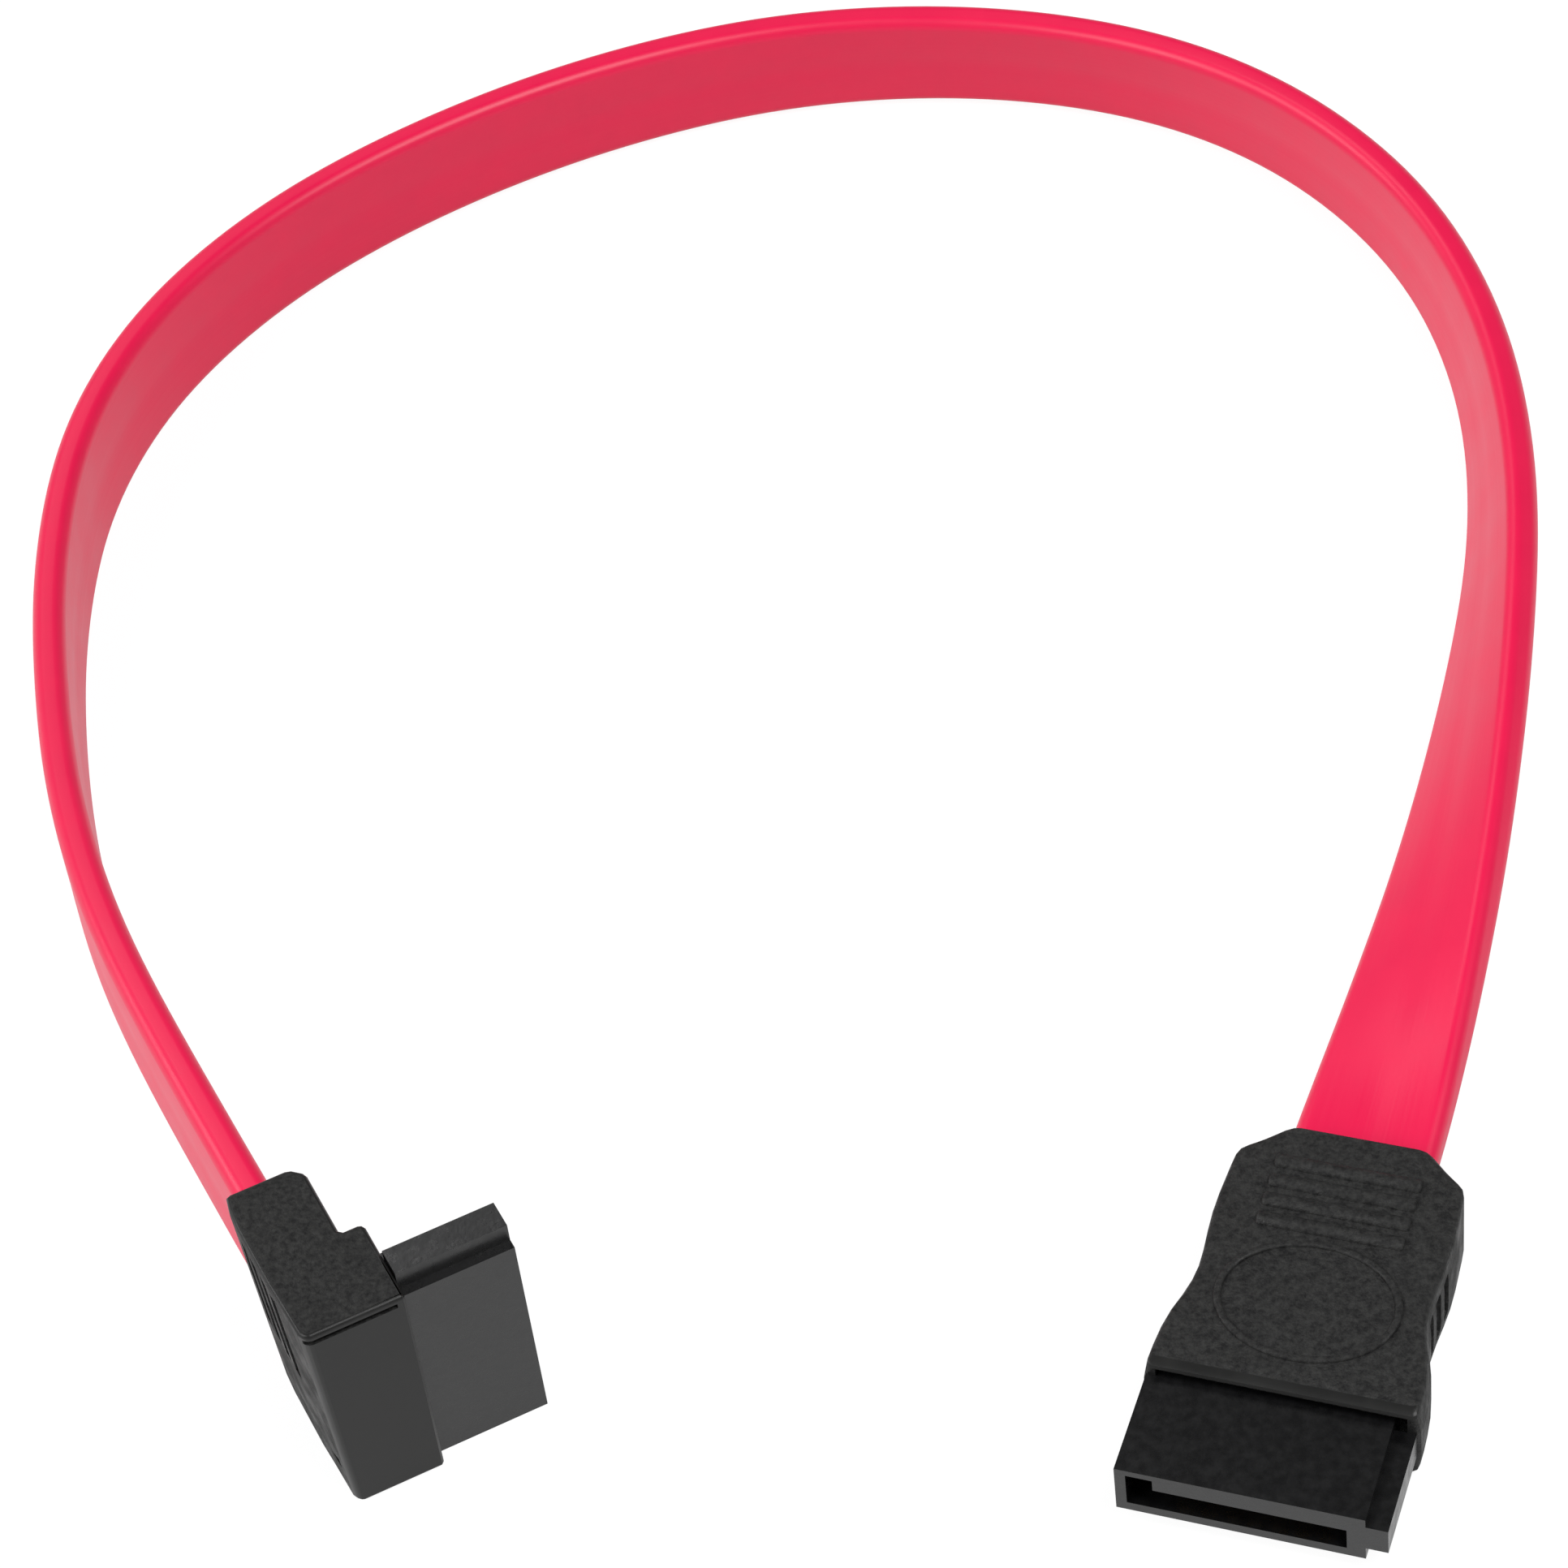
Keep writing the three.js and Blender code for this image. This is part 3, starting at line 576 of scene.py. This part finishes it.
def whole_outline(draft, inset, setback):
    """The grip's outline, grown by the draft, drawn in all round, and with its front edge set back."""
    rear, front = grip_half_outline[0][0], grip_half_outline[-1][0]
    half = []
    for x, y in grip_half_outline:
        from_front = (front - x) / (front - rear)
        forward = inset * from_front ** rear_fade - setback * max(0, 1 - lip_fade * from_front)
        outward = draft * max(0, 1 - draft_fade * from_front) - inset * min(
            1, front_fade * from_front + edge_at_front)
        half.append((x + forward, y + outward))
    return half + [(x, -y) for x, y in reversed(half)]


# From the middle out, each half of the grip draws in with the mould's draft, and then rounds over to its
# wide face, with a longer slope down to the lip.
grip_half = grip_thickness / 2
half_levels = [(grip_middle, whole_outline(grip_draft, 0, 0))]
for turn in (0, 22.5, 45, 67.5, 90):
    rounding = 1 - math.cos(math.radians(turn))
    level = grip_half - grip_edge * (1 - math.sin(math.radians(turn)))
    left_draft = grip_draft * (grip_half - level) / (grip_half - grip_middle)
    half_levels.append((level, whole_outline(left_draft, grip_edge * rounding, lip_slope * rounding)))
grip_bm = raised_outline([(-level, outline) for level, outline in reversed(half_levels)] + half_levels)

pockets = bmesh.new()
for i in range(pocket_count):
    middle = pocket_first - i * pocket_pitch
    for side in (-1, 1):
        near, far = sorted((side * pocket_floor, side * pocket_outside))
        add_block(pockets, (middle - pocket_width / 2, near, pocket_low),
                  (middle + pocket_width / 2, far, pocket_high), corner=pocket_corner)
grip_bm = carve(grip_bm, pockets)


def add_tail_room(bm):
    """Adds the room that the housing's tail fills behind the nose."""
    add_block(bm, (-nose_length - tail_length - 2 * held_fit, -tail_width / 2 - held_fit,
                   -tail_thickness / 2 - held_fit),
              (-nose_length + past_face, tail_width / 2 + held_fit, tail_thickness / 2 + held_fit))


def nose_recess():
    """The recess round the root of the nose, as a bmesh to carve with."""
    recess = bmesh.new()
    add_block(recess, (-nose_length - recess_depth, -recess_half, -recess_high),
              (past_face, recess_half, recess_high))
    return recess


inside = bmesh.new()
add_block(inside,
          (-grip_rear - past_face, -jacket_width / 2 - held_fit, -jacket_thickness / 2 - held_fit),
          (-grip_rear + jacket_grip + past_face, jacket_width / 2 + held_fit,
           jacket_thickness / 2 + held_fit),
          corner=jacket_hole_corner)
add_block(inside,
          (-grip_rear + jacket_grip, -inner_width / 2 - held_fit, -inner_thickness / 2 - held_fit),
          (-nose_length - tail_length - held_fit, inner_width / 2 + held_fit, inner_thickness / 2 + held_fit))
add_tail_room(inside)
grip_bm = carve(grip_bm, inside)
grip_bm = carve(grip_bm, nose_recess())

# Each rib is a lying rod of elliptic section, sunk below the top by its root.
for i in range(rib_count):
    rib_middle = -grip_rear + rib_from_rear + i * rib_pitch
    rib_place = Matrix.Translation((rib_middle, 0, grip_half - rib_root)) @ Matrix.Diagonal(
        (rib_half_width, 1, rib_height + rib_root, 1)) @ Matrix.Rotation(math.radians(90), 4, "X")
    rib = bmesh.ops.create_cone(grip_bm, cap_ends=True, segments=24, radius1=1, radius2=1, depth=rib_length,
                                matrix=rib_place)["verts"]
    rib_ends = {e for v in rib for e in v.link_edges if abs(e.verts[0].co.y - e.verts[1].co.y) < 0.01}
    round_edges(grip_bm, rib_ends, rib_end_rounding)

# The oval is a raised line: two rings bridged below the top, drawn up through it and rounded.
oval_edges = []
for inset in (0.0, oval_line):
    ring = []
    for i in range(oval_points):
        turn = 2 * math.pi * i / oval_points
        ring.append(grip_bm.verts.new((oval_centre + (oval_along / 2 - inset) * math.cos(turn),
                                       (oval_across / 2 - inset) * math.sin(turn), grip_half - oval_root)))
    oval_edges += [grip_bm.edges.new((ring[k], ring[(k + 1) % oval_points])) for k in range(oval_points)]
oval_faces = bmesh.ops.bridge_loops(grip_bm, edges=oval_edges)["faces"]
oval_top = bmesh.ops.extrude_face_region(grip_bm, geom=oval_faces)["geom"]
bmesh.ops.translate(grip_bm, vec=(0, 0, oval_root + oval_height), verts=[
    g for g in oval_top if isinstance(g, bmesh.types.BMVert)])
bmesh.ops.recalc_face_normals(grip_bm, faces=grip_bm.faces)
oval_rims = [e for e in grip_bm.edges if all(abs(v.co.z - grip_half - oval_height) < 1e-4 for v in e.verts)
             and any(abs(f.normal.z) < 0.5 for f in e.link_faces)]
round_edges(grip_bm, oval_rims, oval_rounding)
bmesh.ops.recalc_face_normals(grip_bm, faces=grip_bm.faces)

# Soft PVC from a spark-eroded mould: matt, with a fine dull grain. Its cells are drawn 0.36 mm across where
# the real ones are nearer 0.1 mm, and they shine more or less in patches 1.7 mm across. The pits hold light
# back, so it shines less than bare PVC.
overmould_pvc, tree, shader = new_material("grained_black_pvc", IOR=1.5, Specular_IOR_Level=0.35)
spot = add_node(tree, "ShaderNodeTexCoord", {}).outputs["Object"]
grain = add_node(tree, "ShaderNodeTexNoise", {"Vector": spot, "Scale": cells(0.357), "Detail": 3.0,
                                              "Roughness": 0.7})
pits = add_node(tree, "ShaderNodeMapRange", {"Value": grain.outputs["Fac"], "From Min": 0.33,
                                             "From Max": 0.67})
patches = add_node(tree, "ShaderNodeTexNoise", {"Vector": spot, "Scale": cells(1.667), "Detail": 3.0})
overmould_tone = add_node(tree, "ShaderNodeMix", {0: pits.outputs["Result"], 6: linear("#0b0b0c"),
                                                  7: linear("#2f2f2e")}, data_type="RGBA")
tree.links.new(overmould_tone.outputs[2], shader.inputs["Base Color"])
matt = add_node(tree, "ShaderNodeMapRange", {"Value": patches.outputs["Fac"], "From Min": 0.35,
                                             "From Max": 0.65, "To Min": 0.5, "To Max": 0.8})
tree.links.new(matt.outputs["Result"], shader.inputs["Roughness"])
grained = add_node(tree, "ShaderNodeBump", {"Height": grain.outputs["Fac"], "Strength": 1.0,
                                            "Distance": 0.08 * MM})
tree.links.new(grained.outputs["Normal"], shader.inputs["Normal"])

# The slope to the lip, the elbow's wide face and its rounded rims come from polished parts of the mould: the
# same PVC without the grain, with a soft even sheen that clouds in patches 2 mm across.
smooth_pvc, tree, shader = new_material("smooth_black_pvc", IOR=1.5, Specular_IOR_Level=0.35)
spot = add_node(tree, "ShaderNodeTexCoord", {}).outputs["Object"]
clouding = add_node(tree, "ShaderNodeTexNoise", {"Vector": spot, "Scale": cells(2.0), "Detail": 4.0})
smooth_tone = add_node(tree, "ShaderNodeMix", {0: clouding.outputs["Fac"], 6: linear("#141414"),
                                               7: linear("#242423")}, data_type="RGBA")
tree.links.new(smooth_tone.outputs[2], shader.inputs["Base Color"])
sheen = add_node(tree, "ShaderNodeMapRange", {"Value": clouding.outputs["Fac"], "To Min": 0.3, "To Max": 0.48})
tree.links.new(sheen.outputs["Result"], shader.inputs["Roughness"])


def smooth_where(bm, is_smooth):
    """Gives the smooth PVC to the faces whose normal and middle pass a test."""
    for face in bm.faces:
        face.normal_update()
        face.material_index = int(is_smooth(face.normal, face.calc_center_median()))


def on_lip(normal, middle):
    """Whether a face of the grip is part of the slope to its lip."""
    leans_forward = normal.x > 0.15 and abs(normal.z) > 0.3
    return leans_forward and abs(middle.z) > grip_half - grip_edge and middle.x > -nose_length - lip_reach


smooth_where(grip_bm, on_lip)
grip = add_piece("straight_grip", grip_bm, overmould_pvc, "overmould", "straight_overmould",
                 place=straight_place)
grip.data.materials.append(smooth_pvc)

# Right-angle overmould.
# The same soft black PVC, moulded as an elbow: the body wraps the housing's tail and the neck turns the
# cable away from the wide face. Grooves across its back leave grip ribs between them, and a seam crosses its
# wide face near the upper end.
elbow_front = 6.55
neck_front = elbow_back - neck_thickness
elbow_edge = 0.4
elbow_taper = 0.75
elbow_inner_high = 1.35

# Its outline seen from the narrow end, as x and z, from the wide face round by the neck to the back.
elbow_outline = [
    (-11.9, elbow_face), (-elbow_front - 0.15, elbow_face), (-elbow_front, elbow_face - 0.15),
    (-elbow_front, elbow_rear + 0.35), (-elbow_front - 0.12, elbow_rear + 0.1),
    (-elbow_front - 0.35, elbow_rear), (-neck_front + 0.2, elbow_rear), (-neck_front, elbow_rear - 0.2),
    (-neck_front, neck_end + 0.95), (-neck_front - 0.12, neck_end + 0.6), (-neck_front - 0.6, neck_end + 0.12),
    (-neck_front - 0.95, neck_end), (-12.05, neck_end), (-12.3, neck_end + 0.12),
    (-elbow_back + 0.08, neck_end + 1.2), (-elbow_back, neck_end + 2.6), (-elbow_back, elbow_rear + 1.2),
    (-elbow_back + 0.08, elbow_rear + 2.8), (-elbow_back + 0.16, elbow_face - 0.55),
    (-elbow_back + 0.32, elbow_face - 0.24), (-elbow_back + 0.5, elbow_face - 0.07),
]

grooves_from_end = 2.4
groove_width = 0.75
groove_depth = 0.3
groove_low = -0.5
groove_high = 6.3
groove_corner = 0.1

seam_from_end = 0.38
seam_width = 0.32
seam_depth = 0.35
seam_from_front = 0.5
seam_corner = 0.05

# The lower end is drawn in at the back by the taper. The outline is raised along z and then laid over, so
# that its thickness runs across the connector.
elbow_half = housing_width / 2
upper_end = [(x, -z) for x, z in elbow_outline]
lower_end = [(x + elbow_taper * max(0, (-x - neck_front) / neck_thickness), z) for x, z in upper_end]
elbow_bm = raised_outline([(-elbow_half, lower_end), (elbow_half, upper_end)])
rims = [e for e in elbow_bm.edges if abs(e.verts[0].co.z - e.verts[1].co.z) < 1e-4]
round_edges(elbow_bm, rims, elbow_edge, segments=4)
bmesh.ops.rotate(elbow_bm, cent=(0, 0, 0), matrix=Matrix.Rotation(math.radians(-90), 3, "X"),
                 verts=elbow_bm.verts)

seam = bmesh.new()
add_block(seam, (-elbow_back - past_face, elbow_half - seam_from_end - seam_width, elbow_face - seam_depth),
          (-elbow_front - seam_from_front, elbow_half - seam_from_end, elbow_face + past_face),
          corner=seam_corner)
elbow_bm = carve(elbow_bm, seam)

inside = bmesh.new()
add_block(inside,
          (-elbow_axis - jacket_thickness / 2 - held_fit, -jacket_width / 2 - held_fit, neck_end - past_face),
          (-elbow_axis + jacket_thickness / 2 + held_fit, jacket_width / 2 + held_fit,
           neck_end + jacket_grip + past_face),
          corner=jacket_hole_corner)
add_block(inside,
          (-elbow_axis - inner_thickness / 2 - held_fit, -inner_width / 2 - held_fit, neck_end + jacket_grip),
          (-nose_length - tail_length - held_fit, inner_width / 2 + held_fit, elbow_inner_high + held_fit))
add_tail_room(inside)
elbow_bm = carve(elbow_bm, inside)
elbow_bm = carve(elbow_bm, nose_recess())

# The grooves follow the tapered back.
grooves = bmesh.new()
for i in range(rib_count):
    groove_start = neck_end + grooves_from_end + i * rib_pitch
    add_block(grooves, (-elbow_back - past_face, groove_low, groove_start),
              (-elbow_back + groove_depth, groove_high, groove_start + groove_width), corner=groove_corner)
for vert in grooves.verts:
    vert.co.x += elbow_taper * (elbow_half - vert.co.y) / housing_width
elbow_bm = carve(elbow_bm, grooves)


def polished(normal, middle):
    """Whether a face of the elbow is its wide face or a rounded rim."""
    on_wide_face = normal.z > 0.9 and middle.z > elbow_face - 0.1
    on_a_rim = max(abs(part) for part in normal) < 0.985
    return on_wide_face or on_a_rim


smooth_where(elbow_bm, polished)
elbow = add_piece("angled_elbow", elbow_bm, overmould_pvc, "overmould", "angled_overmould",
                  place=angled_place)
elbow.data.materials.append(smooth_pvc)

# Floor and light.
# A plain white floor that keeps a soft shadow, a pale room that is darker overhead, and four soft lamps.
floor_half = 3.0
floor_drop = 0.03
floor_bm = bmesh.new()
bmesh.ops.create_grid(floor_bm, x_segments=1, y_segments=1, size=floor_half,
                      matrix=Matrix.Translation((0, 0, -floor_drop * MM)))
floor_mesh = bpy.data.meshes.new("floor")
floor_bm.to_mesh(floor_mesh)
floor_bm.free()
floor = bpy.data.objects.new("floor", floor_mesh)
scene.collection.objects.link(floor)

# Seen straight on, the floor is mostly an even white, and the rest is lit paper that takes the shadow. Gloss
# and glass see a smaller share of that white, so that the black housings keep their dark reflections.
white_strength = 1.14
seen_share = 0.82
mirrored_share = 0.6
floor_paper, tree, shader = new_material("white_paper_floor", Roughness=0.9, Base_Color=linear("#d4d4d4"))
ray = add_node(tree, "ShaderNodeLightPath", {})
is_mirrored = add_node(tree, "ShaderNodeMath", {0: ray.outputs["Is Glossy Ray"],
                                                1: ray.outputs["Is Transmission Ray"]}, operation="MAXIMUM")
mirrored = add_node(tree, "ShaderNodeMath", {0: is_mirrored.outputs[0], 1: mirrored_share},
                    operation="MULTIPLY")
seen = add_node(tree, "ShaderNodeMath", {0: ray.outputs["Is Camera Ray"], 1: seen_share},
                operation="MULTIPLY")
white_share = add_node(tree, "ShaderNodeMath", {0: seen.outputs[0], 1: mirrored.outputs[0]},
                       operation="MAXIMUM")
white = add_node(tree, "ShaderNodeEmission", {"Color": (1, 1, 1, 1), "Strength": white_strength})
paper = add_node(tree, "ShaderNodeMixShader", {0: white_share.outputs[0], 1: shader.outputs["BSDF"],
                                               2: white.outputs["Emission"]})
tree.links.new(paper.outputs["Shader"], tree.nodes["Material Output"].inputs["Surface"])
floor_mesh.materials.append(floor_paper)

# The room's light comes from low down, and fades from half white near the horizon to nearly none above.
low_light = 0.5
overhead_light = 0.08
world = bpy.data.worlds.new("pale_room")
scene.world = world
world.use_nodes = True
tree = world.node_tree
direction = add_node(tree, "ShaderNodeTexCoord", {}).outputs["Generated"]
height = add_node(tree, "ShaderNodeSeparateXYZ", {"Vector": direction}).outputs["Z"]
dimming = add_node(tree, "ShaderNodeMapRange", {"Value": height, "From Min": 0.1, "From Max": 0.5,
                                                "To Min": low_light, "To Max": overhead_light})
room = add_node(tree, "ShaderNodeMix", {0: dimming.outputs["Result"], 6: (0, 0, 0, 1), 7: (1, 1, 1, 1)},
                data_type="RGBA")
tree.links.new(room.outputs[2], tree.nodes["Background"].inputs["Color"])
tree.nodes["Background"].inputs["Strength"].default_value = 1.0


def add_lamp(name, place, power, size):
    """A square soft lamp that points at the middle of the loop."""
    data = bpy.data.lights.new(name, "AREA")
    data.energy = power
    data.size = size
    lamp = bpy.data.objects.new(name, data)
    scene.collection.objects.link(lamp)
    lamp.location = place
    lamp.rotation_mode = "QUATERNION"
    lamp.rotation_quaternion = (looked_at - Vector(place)).to_track_quat("-Z", "Y")


add_lamp("key_lamp", (0.22, -0.15, 0.52), power=2.3, size=0.3)
add_lamp("window_lamp", (-0.6, -0.2, 0.5), power=2.7, size=0.4)
add_lamp("side_lamp", (-0.75, 0.3, 0.45), power=1.7, size=0.3)
add_lamp("rear_lamp", (-0.3, 0.66, 0.7), power=0.9, size=0.3)
